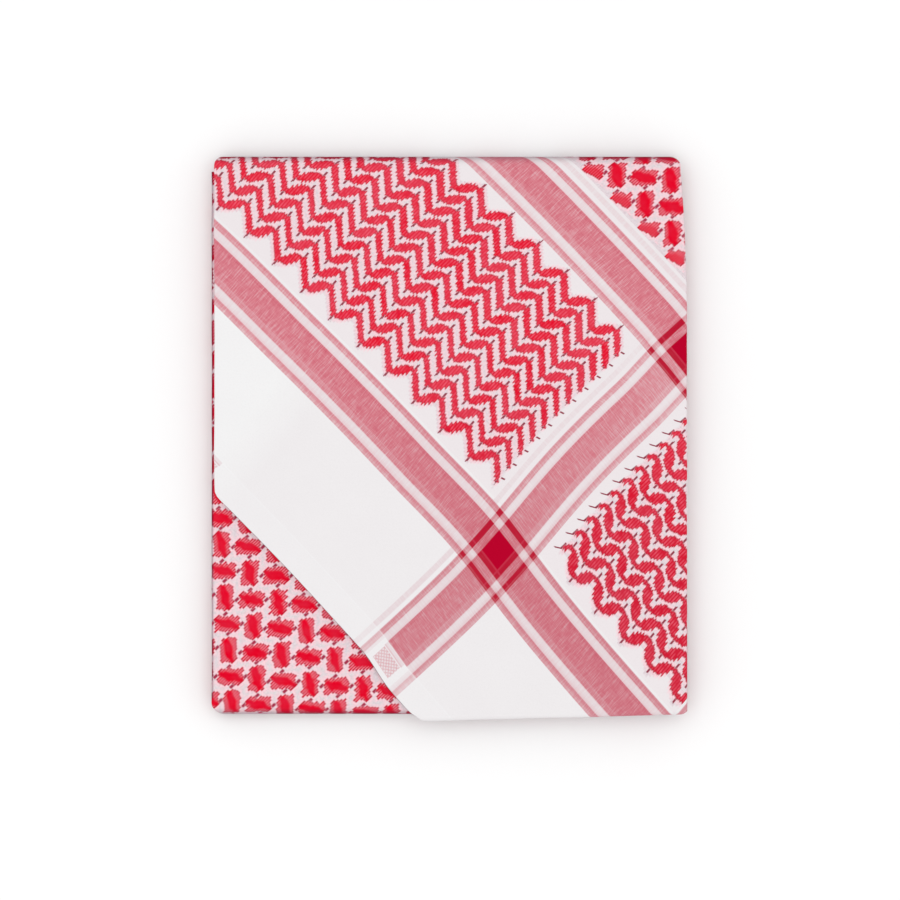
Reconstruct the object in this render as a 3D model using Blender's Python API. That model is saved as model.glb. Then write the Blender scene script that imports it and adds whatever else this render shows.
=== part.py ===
"""A keffiyeh headscarf, folded flat.

One square of woven cotton is folded on its diagonal, the triangle is folded in to a strip a
quarter of its height wide, and the strip is rolled up flat. From the outside in the strip runs:
tucked-in tip, front flap, top bend, back, bottom bend, under panel, and three more turns.

+X is to the right, +Y to the top edge and +Z up from the surface that the pack lies on. The
origin is on that surface, below the middle of the pack. Lengths are in metres.
"""

import math

import bmesh
import bpy

# The cut and the fold.
CLOTH_SIDE = 1.400                     # the square, selvedge to selvedge
STRIP_PANELS = 4                       # panels that the triangle's height is folded to
PACK_WIDTH = CLOTH_SIDE / math.sqrt(2) / STRIP_PANELS
PACK_LENGTH = 0.2951                   # top bend to the lowest point of the flap
LEFT = -PACK_WIDTH / 2
RIGHT = PACK_WIDTH / 2
TOP = PACK_LENGTH / 2
BOTTOM = -PACK_LENGTH / 2
PIECE_GAP = 0.0003                     # air between neighbouring pieces

# Thickness of each stretch, and the height that it starts at.
BACK_WALL = 0.0026
HIDDEN_DEPTH = 0.0075
UNDER_WALL = 0.0027
TUCK_WALL = 0.0010
FLAP_WALL = 0.0019                     # two layers of cloth
FLAP_WALL_DOUBLED = 0.0025             # four layers, where the second panel lies behind
HIDDEN_BASE = BACK_WALL + PIECE_GAP
UNDER_BASE = HIDDEN_BASE + HIDDEN_DEPTH + PIECE_GAP
UNDER_TOP = UNDER_BASE + UNDER_WALL
FLAP_BASE = UNDER_TOP + PIECE_GAP
TUCK_LIFT = TUCK_WALL + PIECE_GAP      # how far the tucked tip raises the flap

# The slanting selvedge of the flap, and the layers that the flap lies over.
SELVEDGE_SLOPE = 0.894                 # run in X for each metre along Y
SELVEDGE_FOOT = -0.0195                # X where it meets the bottom fold
SELVEDGE_EASE = 0.003                  # softening where it meets the left edge
SELVEDGE_BOW = 0.0042                  # how far it bows in from a straight line
BOW_FROM = 0.012                       # heights above the bottom fold where the bow starts,
BOW_FULL = 0.036                       # is full,
BOW_END = 0.113                        # and has run out
BOW_POWER = 2.2
TUCK_LENGTH = 0.148                    # bottom fold to the blunt tip of the tuck
DOUBLED_FROM = -0.032                  # Y where the second panel starts behind the flap
DOUBLED_BEFORE_BEND = 0.030            # and it is full for this last stretch below the bend
COVER_EASE = 0.016                     # how gently the flap falls off the layers behind

# The flap's bottom fold rises to the right, and droops over the pack's edge.
FOLD_RISE = 0.0262
FOLD_RISE_FROM = -0.0158
FOLD_DROOP_LEFT = 0.0014
FOLD_DROOP_RIGHT = 0.0005
FOLD_DROOP_LENGTH = 0.005

# The right edge leans in towards the top.
LEAN_FROM = 0.067
LEAN_DEPTH = 0.0036
LEAN_POWER = 1.6

# Bends and rounded corners.
UNDER_BOTTOM = BOTTOM + 0.0044         # the lower layers stop short of the flap
TOP_BEND_RADIUS = (FLAP_BASE + FLAP_WALL_DOUBLED) / 2
TOP_BEND_Y = TOP - TOP_BEND_RADIUS
LOW_BEND_RADIUS = UNDER_TOP / 2
LOW_BEND_Y = UNDER_BOTTOM + LOW_BEND_RADIUS
TOP_CORNERS = (0.0040, 0.0050)         # left and right, seen from above
LOW_CORNERS = (0.0057, 0.0057)
FLAP_CORNERS = (0.0040, 0.0030)

# How far each stretch's edges stand in from the pack's, left and right.
FLAP_EDGES = (0.0008, 0.0)
UNDER_EDGES = (0.0, 0.0009)
BACK_EDGES = (0.0006, 0.0004)

# The folded bands that show down an edge: the share of the thickness that each takes, from the
# outer face inwards, and how far it stands in.
ONE_BAND = ({"share": 1.0, "inset": 0.0},)
TWO_BANDS = (
    {"share": 0.4, "inset": 0.0},
    {"share": 0.6, "inset": 0.0006},
)
HIDDEN_LEFT_BANDS = (
    {"share": 0.44, "inset": 0.0010},
    {"share": 0.21, "inset": 0.0026},
    {"share": 0.35, "inset": 0.0014},
)
HIDDEN_RIGHT_BANDS = (
    {"share": 0.15, "inset": 0.0012},
    {"share": 0.29, "inset": 0.0018},
    {"share": 0.10, "inset": 0.0032},
    {"share": 0.12, "inset": 0.0038},
    {"share": 0.19, "inset": 0.0022},
    {"share": 0.15, "inset": 0.0014},
)
GROOVE_DEPTH = 0.0016                  # deepest that a groove between two bands goes

# The rounded ends of the turns inside the roll, kept clear of the bends round them.
HIDDEN_TOP_Y = TOP_BEND_Y - 0.0004
HIDDEN_LOW_Y = LOW_BEND_Y + 0.0012
HIDDEN_MIDDLE = HIDDEN_BASE + HIDDEN_DEPTH / 2
HIDDEN_END_REACH = 0.97                # how far round its ends go, as the sine of the angle

# Rows and columns of the meshes.
FACE_COLUMNS = 17
BAND_POINTS = 5
BEND_STEPS = 12
FOLD_STEPS = 6
TUCK_STEPS = 8
FLAP_STEPS = 48
PANEL_STEPS = 8
FOLD_SIDE_ROWS = (0.0015, 0.0035)      # extra rows beside the flap's bottom fold

# Colours of the cloth, averaged over each stretch, as linear values.
CLOTH_COLOURS = {
    "front_flap": (0.76, 0.39, 0.42),
    "under_panel": (0.72, 0.21, 0.25),
    "back_panel": (0.75, 0.36, 0.39),
    "hidden_layers": (0.74, 0.33, 0.36),
}
CLOTH_ROUGHNESS = 0.92


def clear_scene():
    """Removes whatever the scene starts with."""
    for thing in list(bpy.data.objects):
        bpy.data.objects.remove(thing, do_unlink=True)


def smooth_step(value):
    """0 below 0, 1 above 1, and an S curve between."""
    held = min(max(value, 0.0), 1.0)
    return held * held * (3 - 2 * held)


def soft_maximum(first, second, ease):
    """The larger of two values, with the change from one to the other rounded off."""
    return (first + second + math.sqrt((first - second) ** 2 + ease * ease)) / 2


def corner_inset(radius, depth):
    """How far a rounded corner pulls a side in, at this depth from the end of the piece."""
    reach = min(max(radius - depth, 0.0), radius)
    return radius - math.sqrt(radius * radius - reach * reach)


def side_edges(y, insets, corners=(0.0, 0.0), depth=1.0):
    """The left and right edge of a stretch at this Y."""
    climb = max(y - LEAN_FROM, 0.0) / (TOP - LEAN_FROM)
    lean = LEAN_DEPTH * min(climb, 1.0) ** LEAN_POWER
    left = LEFT + insets[0] + corner_inset(corners[0], depth)
    right = RIGHT - lean - insets[1] - corner_inset(corners[1], depth)
    return left, right


def band_profile(bands, thickness):
    """Rounded bands down one edge, as (share of the thickness, inset from the edge)."""
    points = []
    top = 0.0
    for band in bands:
        height = band["share"] * thickness
        bulge = min(height / 2, GROOVE_DEPTH)
        for step in range(BAND_POINTS):
            angle = math.pi * step / (BAND_POINTS - 1)
            share = top + band["share"] * (1 - math.cos(angle)) / 2
            inset = band["inset"] + bulge * (1 - math.sin(angle))
            if step == 0 and points:
                points[-1] = (share, max(points[-1][1], inset))
            else:
                points.append((share, inset))
        top += band["share"]
    return points


def spread(start, end, steps):
    """Evenly spaced values from start to end, both included."""
    return [start + (end - start) * step / steps for step in range(steps + 1)]


def ring_of(row):
    """Corner points of one cross-section, in order round it.

    A row holds left, right, thickness, left_bands, right_bands and place(x, share), which
    turns an X and a share of the thickness, 0 at the outer face, into a point.
    """
    left_side = band_profile(row["left_bands"], row["thickness"])
    right_side = band_profile(row["right_bands"], row["thickness"])
    place = row["place"]
    ring = []
    for share, end in ((0.0, 0), (1.0, -1)):
        face_left = row["left"] + left_side[end][1]
        face_right = row["right"] - right_side[end][1]
        columns = spread(face_left, face_right, FACE_COLUMNS - 1)
        if end == 0:
            ring += [place(x, share) for x in columns]
            ring += [place(row["right"] - inset, down) for down, inset in right_side[1:-1]]
        else:
            ring += [place(x, share) for x in reversed(columns)]
            ring += [place(row["left"] + inset, down) for down, inset in left_side[-2:0:-1]]
    return ring


def cloth_material(name):
    material = bpy.data.materials.new(name + "_cloth")
    material.use_nodes = True
    shader = material.node_tree.nodes["Principled BSDF"]
    shader.inputs["Base Color"].default_value = (*CLOTH_COLOURS[name], 1.0)
    shader.inputs["Roughness"].default_value = CLOTH_ROUGHNESS
    shader.inputs["Metallic"].default_value = 0.0
    return material


def solid_from_rows(name, rows):
    """Skins a run of cross-sections, closes both ends and makes the object."""
    shell = bmesh.new()
    rings = [[shell.verts.new(point) for point in ring_of(row)] for row in rows]
    count = len(rings[0])
    for near, far in zip(rings, rings[1:]):
        for index in range(count):
            after = (index + 1) % count
            shell.faces.new((near[index], near[after], far[after], far[index]))
    shell.faces.new(rings[0])
    shell.faces.new(rings[-1])
    bmesh.ops.recalc_face_normals(shell, faces=shell.faces)
    bmesh.ops.triangulate(shell, faces=shell.faces, ngon_method="EAR_CLIP")
    mesh = bpy.data.meshes.new(name)
    shell.to_mesh(mesh)
    shell.free()
    mesh.shade_smooth()
    mesh.set_sharp_from_angle(angle=math.radians(50))
    mesh.materials.append(cloth_material(name))
    piece = bpy.data.objects.new(name, mesh)
    bpy.context.scene.collection.objects.link(piece)
    return piece


# ---- the front flap, its bottom fold and its tucked-in tip

def fold_droop(x):
    """How far the bottom fold hangs below the layers that the flap lies on."""
    along = (x - SELVEDGE_FOOT) / (RIGHT - SELVEDGE_FOOT)
    return FOLD_DROOP_LEFT + (FOLD_DROOP_RIGHT - FOLD_DROOP_LEFT) * min(max(along, 0.0), 1.0)


def fold_radius(x):
    """Outer radius of the bottom fold."""
    return (TUCK_LIFT + FLAP_WALL + fold_droop(x)) / 2


def fold_y(x):
    """Centre line of the bottom fold."""
    rise = FOLD_RISE * max(x - FOLD_RISE_FROM, 0.0)
    return BOTTOM + rise + fold_radius(x)


def tuck_row(distance):
    """A section through the tucked-in tip, this far in from the bottom fold."""

    def place(x, share):
        droop = fold_droop(x) * smooth_step(1 - distance / FOLD_DROOP_LENGTH)
        return (x, fold_y(x) + distance, FLAP_BASE - droop + share * TUCK_WALL)

    radius = fold_radius(SELVEDGE_FOOT)
    left = SELVEDGE_FOOT + SELVEDGE_SLOPE * distance
    return {
        "left": left + corner_inset(FLAP_CORNERS[0], distance + radius),
        "right": RIGHT - corner_inset(FLAP_CORNERS[1], distance + radius),
        "thickness": TUCK_WALL,
        "left_bands": ONE_BAND,
        "right_bands": ONE_BAND,
        "place": place,
    }


def bottom_fold_row(turn):
    """A section through the bottom fold, from 0 under it to 1 above it."""
    angle = math.pi * turn
    wall = TUCK_WALL + (FLAP_WALL - TUCK_WALL) * turn

    def place(x, share):
        radius = fold_radius(x)
        reach = radius - share * wall
        middle = FLAP_BASE - fold_droop(x) + radius
        return (x, fold_y(x) - reach * math.sin(angle), middle - reach * math.cos(angle))

    radius = fold_radius(SELVEDGE_FOOT)
    depth = radius * (1 - math.sin(angle))
    return {
        "left": SELVEDGE_FOOT + corner_inset(FLAP_CORNERS[0], depth),
        "right": RIGHT - corner_inset(FLAP_CORNERS[1], depth),
        "thickness": wall,
        "left_bands": ONE_BAND,
        "right_bands": ONE_BAND,
        "place": place,
    }


def tuck_cover(x, distance):
    """1 where the tucked-in tip lies behind the flap, 0 clear of it."""
    tuck_left = SELVEDGE_FOOT + SELVEDGE_SLOPE * distance
    return smooth_step((x - tuck_left + COVER_EASE) / COVER_EASE)


def doubled_cover(x, y):
    """1 where the second panel lies behind the flap, 0 clear of it."""
    doubled_right = LEFT + SELVEDGE_SLOPE * (y - DOUBLED_FROM)
    beside = smooth_step((doubled_right - x + COVER_EASE) / COVER_EASE)
    near_bend = smooth_step(1 - (TOP_BEND_Y - y) / DOUBLED_BEFORE_BEND)
    return max(beside, near_bend)


def selvedge_bow(distance):
    """How far the selvedge bows to the right of a straight line, this far up the flap."""
    rising = smooth_step((distance - BOW_FROM) / (BOW_FULL - BOW_FROM))
    falling = max(distance - BOW_FULL, 0.0) / (BOW_END - BOW_FULL)
    return SELVEDGE_BOW * rising * max(1 - falling**BOW_POWER, 0.0)


def flap_row(distance):
    """A section through the flap, this far up from the bottom fold."""
    foot = fold_y(SELVEDGE_FOOT)
    climb = distance / (TOP_BEND_Y - foot)
    nominal_y = foot + distance

    def place(x, share):
        y = fold_y(x) + (TOP_BEND_Y - fold_y(x)) * climb
        wall = FLAP_WALL + (FLAP_WALL_DOUBLED - FLAP_WALL) * doubled_cover(x, y)
        return (x, y, FLAP_BASE + TUCK_LIFT * tuck_cover(x, distance) + wall * (1 - share))

    depth = distance + fold_radius(SELVEDGE_FOOT)
    left, right = side_edges(nominal_y, FLAP_EDGES, (0.0, FLAP_CORNERS[1]), depth)
    selvedge = SELVEDGE_FOOT - SELVEDGE_SLOPE * distance + selvedge_bow(distance)
    selvedge += corner_inset(FLAP_CORNERS[0], depth)
    return {
        "left": soft_maximum(left, selvedge, SELVEDGE_EASE),
        "right": right,
        "thickness": FLAP_WALL,
        "left_bands": ONE_BAND,
        "right_bands": ONE_BAND,
        "place": place,
    }


def bend_row(turn, center_y, radius, wall, direction, edges):
    """A section through a bend round the pack, from 0 above it to 1 on the surface.

    direction is 1 for the top bend and -1 for the bottom one. edges is (insets, corners,
    left_bands, right_bands).
    """
    insets, corners, left_bands, right_bands = edges
    angle = math.pi * turn

    def place(x, share):
        reach = radius - share * wall
        y = center_y + direction * reach * math.sin(angle)
        return (x, y, radius + reach * math.cos(angle))

    depth = radius * (1 - math.sin(angle))
    left, right = side_edges(center_y, insets, corners, depth)
    return {
        "left": left,
        "right": right,
        "thickness": wall,
        "left_bands": left_bands,
        "right_bands": right_bands,
        "place": place,
    }


def build_front_flap():
    """Tucked-in tip, bottom fold, flap and the bend over the top edge."""
    foot = fold_y(SELVEDGE_FOOT)
    beside = list(FOLD_SIDE_ROWS)
    tuck_distances = spread(TUCK_LENGTH, FOLD_DROOP_LENGTH, TUCK_STEPS) + beside[::-1]
    flap_distances = beside + spread(FOLD_DROOP_LENGTH, TOP_BEND_Y - foot, FLAP_STEPS)[:-1]
    rows = [tuck_row(distance) for distance in tuck_distances]
    rows += [bottom_fold_row(turn) for turn in spread(0.0, 1.0, FOLD_STEPS)]
    rows += [flap_row(distance) for distance in flap_distances]
    edges = (FLAP_EDGES, TOP_CORNERS, ONE_BAND, ONE_BAND)
    for turn in spread(0.0, 1.0, BEND_STEPS):
        rows.append(bend_row(turn, TOP_BEND_Y, TOP_BEND_RADIUS, FLAP_WALL_DOUBLED, 1, edges))
    return solid_from_rows("front_flap", rows)


# ---- the panels behind the flap

def flat_row(y, outer, inner, insets, left_bands, right_bands):
    """A section through a panel that lies flat, with its outer and inner face at these heights."""

    def place(x, share):
        return (x, y, outer + (inner - outer) * share)

    left, right = side_edges(y, insets)
    return {
        "left": left,
        "right": right,
        "thickness": abs(outer - inner),
        "left_bands": left_bands,
        "right_bands": right_bands,
        "place": place,
    }


def build_under_panel():
    """The bend round the bottom edge and the panel that shows below the flap's selvedge."""
    edges = (UNDER_EDGES, LOW_CORNERS, ONE_BAND, TWO_BANDS)
    rows = []
    for turn in spread(1.0, 0.0, BEND_STEPS):
        rows.append(bend_row(turn, LOW_BEND_Y, LOW_BEND_RADIUS, UNDER_WALL, -1, edges))
    for y in spread(LOW_BEND_Y, TOP_BEND_Y, PANEL_STEPS)[1:]:
        rows.append(flat_row(y, UNDER_TOP, UNDER_BASE, UNDER_EDGES, ONE_BAND, TWO_BANDS))
    return solid_from_rows("under_panel", rows)


def build_back_panel():
    """The stretch that the pack rests on."""
    start = LOW_BEND_Y + PIECE_GAP
    end = TOP_BEND_Y - PIECE_GAP
    rows = []
    for y in spread(start, end, PANEL_STEPS):
        rows.append(flat_row(y, 0.0, BACK_WALL, BACK_EDGES, ONE_BAND, TWO_BANDS))
    return solid_from_rows("back_panel", rows)


def hidden_row(y, half_depth):
    """A section through the turns inside the roll."""

    def place(x, share):
        return (x, y, HIDDEN_MIDDLE + half_depth * (2 * share - 1))

    left, right = side_edges(y, (0.0, 0.0))
    return {
        "left": left,
        "right": right,
        "thickness": HIDDEN_DEPTH,
        "left_bands": HIDDEN_LEFT_BANDS,
        "right_bands": HIDDEN_RIGHT_BANDS,
        "place": place,
    }


def build_hidden_layers():
    """The turns inside the roll, rounded at both ends and layered down both edges."""
    full = HIDDEN_DEPTH / 2
    reaches = spread(HIDDEN_END_REACH, 0.0, BEND_STEPS // 2)
    rows = []
    for reach in reaches:
        rows.append(hidden_row(HIDDEN_LOW_Y - full * reach, full * math.sqrt(1 - reach * reach)))
    for y in spread(HIDDEN_LOW_Y, HIDDEN_TOP_Y, PANEL_STEPS)[1:-1]:
        rows.append(hidden_row(y, full))
    for reach in reversed(reaches):
        rows.append(hidden_row(HIDDEN_TOP_Y + full * reach, full * math.sqrt(1 - reach * reach)))
    return solid_from_rows("hidden_layers", rows)


clear_scene()
build_front_flap()
build_under_panel()
build_back_panel()
build_hidden_layers()
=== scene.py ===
# %% [markdown]
# # A folded keffiyeh, dressed in Blender
#
# A keffiyeh is one square of woven cotton. It is folded on its diagonal, the triangle is folded
# in to a strip, and the strip is rolled up flat to a pack of about thirteen turns of cloth. This
# lesson puts the cloth on the rigid model of that pack: first the forms, as swept sections of
# cloth, and then one woven material that all of them share.
#
# The rigid model's boxes give the edges and heights of the pack. The dressed pack has to stay
# inside it.

# %% The frame
import math

import bmesh
import bpy
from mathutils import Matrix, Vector, noise


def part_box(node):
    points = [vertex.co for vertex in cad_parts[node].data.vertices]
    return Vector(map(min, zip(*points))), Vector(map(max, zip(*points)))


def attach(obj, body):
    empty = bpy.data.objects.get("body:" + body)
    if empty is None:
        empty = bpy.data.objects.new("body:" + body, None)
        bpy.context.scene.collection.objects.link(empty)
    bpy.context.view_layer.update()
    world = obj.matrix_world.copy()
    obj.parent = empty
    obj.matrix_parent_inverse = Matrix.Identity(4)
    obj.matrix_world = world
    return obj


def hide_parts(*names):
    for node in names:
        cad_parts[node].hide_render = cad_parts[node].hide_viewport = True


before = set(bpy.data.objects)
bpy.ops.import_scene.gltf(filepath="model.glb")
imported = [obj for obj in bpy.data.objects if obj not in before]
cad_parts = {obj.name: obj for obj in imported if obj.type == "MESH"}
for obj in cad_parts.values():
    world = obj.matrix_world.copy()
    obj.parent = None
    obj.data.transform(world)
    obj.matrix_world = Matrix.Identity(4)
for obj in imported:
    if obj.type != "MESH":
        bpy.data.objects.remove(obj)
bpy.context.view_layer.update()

# %% [markdown]
# ## The sizes of the fold
#
# The pack is as wide as a quarter of the triangle's height, so its width comes from the cut. Its
# edges are read from the frame. The rest are the few sizes that a person who folds the cloth
# would name: how thick each stretch is, where the slanting selvedge runs, and how tight the
# folds are. All of them are in metres.

# %% Sizes
CLOTH_SIDE = 1.400
HALF_SIDE = CLOTH_SIDE / 2

under_low, under_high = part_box("under_panel")
flap_low, flap_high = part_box("front_flap")
hidden_low, hidden_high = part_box("hidden_layers")
back_low, back_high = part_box("back_panel")
LEFT, RIGHT = under_low[0], flap_high[0]
TOP, BOTTOM = flap_high[1], flap_low[1]

PIECE_GAP = 0.0003                # air between neighbouring pieces
UNDER_TOP = under_high[2]
UNDER_WALL = 0.0027
BACK_WALL = back_high[2] - back_low[2]
HIDDEN_BASE, HIDDEN_TOP = hidden_low[2], hidden_high[2]
FLAP_BASE = UNDER_TOP + PIECE_GAP
TUCK_WALL = 0.0010
TUCK_LIFT = TUCK_WALL + PIECE_GAP  # how far the tucked tip raises the flap
FLAP_WALL, FLAP_WALL_DOUBLED = 0.0019, 0.0025

SELVEDGE_SLOPE = 0.894            # run along X for each metre along Y
SELVEDGE_FOOT = -0.0195           # X where the selvedge meets the bottom fold
SELVEDGE_EASE = 0.0010            # how softly it runs into the left edge
SELVEDGE_BOW = 0.0042             # how far it bows in from a straight line
TUCK_LENGTH = 0.148               # of the tip that is tucked in behind the flap
DOUBLED_FROM = -0.032             # Y where the doubled layer starts at the left edge
COVER_EASE = 0.016                # how gently the flap falls off a layer behind it
FLAP_OVERHANG = 0.0035            # how far the flap's fold passes the bend below it
FOOT_CORNER = 0.007               # radius of the flap's corner at the foot of the selvedge
FOLD_CORNER = 0.003               # and of its corner on the right

TOP_RADIUS = (FLAP_BASE + FLAP_WALL_DOUBLED) / 2
TOP_BEND_Y = TOP - TOP_RADIUS
LOW_RADIUS = UNDER_TOP / 2
LOW_BEND_Y = BOTTOM + FLAP_OVERHANG + LOW_RADIUS
print("pack", round((RIGHT - LEFT) * 1000, 1), "x", round((TOP - BOTTOM) * 1000, 1), "mm")

# %% [markdown]
# ## Small helpers for soft edges
#
# Folded cloth has no hard numbers: one edge melts into the next. Three short functions give that:
# an S curve, a soft maximum for where the selvedge meets the left edge, and a wobble, which is
# smooth noise of a chosen wavelength that is the same on every run. The others use them to round a
# corner, to bow the selvedge and to give both side edges of a stretch of cloth.

# %% Helpers for form
def smooth_step(value):
    held = min(max(value, 0.0), 1.0)
    return held * held * (3 - 2 * held)


def soft_maximum(first, second, ease):
    return (first + second + math.sqrt((first - second) ** 2 + ease * ease)) / 2


def corner_inset(radius, depth):
    """How far a rounded corner pulls a side in, at this depth from the end."""
    reach = min(max(radius - depth, 0.0), radius)
    return radius - math.sqrt(radius * radius - reach * reach)


def selvedge_bow(distance):
    """How far the selvedge bows to the right, this far up the flap from its bottom fold."""
    starts, full, fades = 0.012, 0.036, 0.077
    rising = smooth_step((distance - starts) / (full - starts))
    falling = max(distance - full, 0.0) / fades
    return SELVEDGE_BOW * rising * max(1 - falling ** 2.2, 0.0)


def spread(start, end, steps):
    return [start + (end - start) * step / steps for step in range(steps + 1)]


def wobble(x, y, wavelength, seed):
    """Smooth noise between about -1 and 1."""
    return noise.noise(Vector((x / wavelength, y / wavelength, seed * 7.31)))


LEAN, LEAN_FROM = 0.0036, 0.067   # the right edge leans in by this much, from this Y to the top
WAVER, WAVER_LENGTH = 0.00020, 0.021


def side_edges(y, insets, corners=(0.0, 0.0), depth=1.0, seed=0):
    """The left and right edge of a stretch of cloth at this Y."""
    climb = max(y - LEAN_FROM, 0.0) / (TOP - LEAN_FROM)
    lean = LEAN * min(climb, 1.0) ** 1.6
    left = LEFT + insets[0] + corner_inset(corners[0], depth)
    right = RIGHT - lean - insets[1] - corner_inset(corners[1], depth)
    left += WAVER * wobble(0.0, y, WAVER_LENGTH, seed)
    right -= WAVER * (1 + wobble(9.0, y, WAVER_LENGTH, seed))
    return left, right


print("soft maximum of 1 and 1:", soft_maximum(1, 1, SELVEDGE_EASE))

# %% [markdown]
# ## Where each point lies on the flat cloth
#
# The pattern belongs to the flat square, so every point of the folded pack needs to know its
# place there: a along one selvedge and b away from it. It could be painted on afterwards, but a
# UV map in metres does it exactly, and one material then fits every stretch.
#
# Each stretch of the strip is laid at about 45 degrees to the yarns. On the front flap the yarns
# are drawn out of straight a little, as they are on any cloth that has been handled, so two
# gentle warps push the bands up to 10 mm to one side, with a small pull near the fold at the right,
# and the selvedge bows in by 4 mm.

# %% The flat cloth
FLAP_ORIGIN = (0.02444, -0.05763)          # where the outer bands cross, on the pack
FLAP_ALONG = (-0.667, 0.745)               # way that a grows, on the pack
OUTER_BAND = 0.0925                        # from the selvedge to the middle of each band
INNER_BAND = 0.2347
WARP_MIDDLE = 0.2561                       # a in the middle of the warps


def on_flap(x, y):
    """Place on the flat cloth of a point of the front flap, its fold and its top bend."""
    dx, dy = x - FLAP_ORIGIN[0], y - FLAP_ORIGIN[1]
    a = INNER_BAND + dx * FLAP_ALONG[0] + dy * FLAP_ALONG[1]
    b = OUTER_BAND + dx * FLAP_ALONG[1] - dy * FLAP_ALONG[0]

    # The first warp swings the bands that run up to the right, one way and then the other.
    drift_a = 0.0011 + 0.00725 * math.tanh((b - 0.1169) / 0.0486) - 0.0077 * (a - WARP_MIDDLE)

    # The second bends the bands that run up to the left, away on both sides of its middle.
    past = min(a - WARP_MIDDLE, 0.225)
    if past > 0:
        drift_b = -0.00068 - 0.2487 * past * past
    else:
        drift_b = -0.00068 - 0.00544 * math.tanh(past / 0.0497) ** 2
        drift_b += 0.00063 * smooth_step((b - 0.10) / 0.03) * smooth_step((0.23 - b) / 0.03)
    drift_b += 0.0195 * min(b - OUTER_BAND, 0.25) + 0.0014 * smooth_step((a - 0.385) / 0.075)
    drift_b += 0.0010 * smooth_step((0.300 - a) / 0.045) * smooth_step((0.20 - b) / 0.08)

    # Near the fold at the right the cloth is pulled, by up to 2 mm.
    near_right = smooth_step((b - 0.195) / 0.035) * smooth_step((0.300 - a) / 0.040)
    drift_a += 0.0020 * near_right
    drift_b -= 0.0008 * near_right * smooth_step((0.270 - a) / 0.020)

    # Beside the selvedge the warp gives way to the selvedge's own bow.
    beside_selvedge = 1 - smooth_step(b / 0.055)
    edge_drift = 0.0021 + FLAP_ALONG[1] * selvedge_bow((a - 0.1977) / 1.341)
    return a - drift_a, b - drift_b * smooth_step(b / 0.06) - edge_drift * beside_selvedge


print("the crossing lies at", [round(value, 4) for value in on_flap(*FLAP_ORIGIN)])

# %% [markdown]
# ## The other stretches on the flat cloth
#
# The under panel lies straighter, so turning and one small shear place it. The back starts with
# the grain of the flap at the top bend and ends with that of the under panel at the bottom bend.
# It eases from one to the other, so the pattern never breaks as it runs round the pack.

# %% The rest of the flat cloth
UNDER_ORIGIN = (LEFT, -0.14284)
UNDER_START = (0.71365, 0.36604)           # a and b there
UNDER_ANGLE = math.radians(45.5)
UNDER_SHEAR = 0.0071                       # its yarns cross a little off the square
INNER_SHIFT = (-0.105, 0.062)              # how much further along the strip a turn inside lies


def on_under(x, y):
    """Place on the flat cloth of a point of the under panel and the bend below it."""
    dx, dy = x - UNDER_ORIGIN[0], y - UNDER_ORIGIN[1]
    cos, sin = math.cos(UNDER_ANGLE), math.sin(UNDER_ANGLE)
    a = UNDER_START[0] - dx * cos + dy * sin
    b = UNDER_START[1] + dx * sin + dy * cos
    return a + UNDER_SHEAR * (b - UNDER_START[1]), b


def on_back(x, travel):
    """The back, from 0 at the top bend to 1 at the bottom bend: one grain eases into the other."""
    length = TOP_BEND_Y - LOW_BEND_Y
    from_flap = on_flap(x, TOP_BEND_Y + math.pi * TOP_RADIUS + travel * length)
    to_under = on_under(x, LOW_BEND_Y - math.pi * LOW_RADIUS - (1 - travel) * length)
    ease = smooth_step(travel)
    return tuple(near + (far - near) * ease for near, far in zip(from_flap, to_under))


def on_inner(x, y):
    """A turn further in: the same grain, further along the strip."""
    a, b = on_under(x, y)
    return a + INNER_SHIFT[0], b + INNER_SHIFT[1]


print("the lower left corner lies at", [round(value, 4) for value in on_under(LEFT, BOTTOM)])

# %% [markdown]
# ## Lips of folded cloth
#
# Every stretch is a run of cross-sections from left to right, skinned together. Down each side of
# a section lie the lips of the folded layers: each lip is a half round, and two lips meet in a
# groove. A subdivision surface could round the lips too, but then the selvedge would shrink.
# Points put straight on the round keep the size exact.

# %% Lips
FACE_COLUMNS = 101
INNER_COLUMNS = 27
LIP_POINTS = 9
GROOVE_DEPTH = 0.0017
SLACK, SLACK_LENGTH = 0.00035, 0.034      # how unevenly neighbouring folds stand out
LIP_SHADE_FROM, LIP_SHADE_TO = 0.0002, 0.0010    # depths where the painted shade on a lip is full, and where it starts to fade


def lips_of(bands, wall, y, seed):
    """Points down one side as (depth below the outer face, distance in from the edge)."""
    points = []
    top = 0.0
    for number, (share, inset) in enumerate(bands):
        height = share * wall
        bulge = min(height / 2, GROOVE_DEPTH)
        slack = 0.0 if len(bands) == 1 else SLACK
        inset += slack * (1 + wobble(number * 3.7, y, SLACK_LENGTH, seed))
        for step in range(LIP_POINTS):
            angle = math.pi * step / (LIP_POINTS - 1)
            depth = top + height * (1 - math.cos(angle)) / 2
            distance = inset + bulge * (1 - math.sin(angle))
            if step == 0 and points:
                points[-1] = (depth, max(points[-1][1], distance))
            else:
                points.append((depth, distance))
        top += height
    return points


ONE_LIP = ((1.0, 0.0),)
PAIR = ((0.5, 0.0), (0.5, 0.0003))
print("a pair of lips takes", len(lips_of(PAIR, FLAP_WALL, 0.0, 1)), "points")
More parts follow.
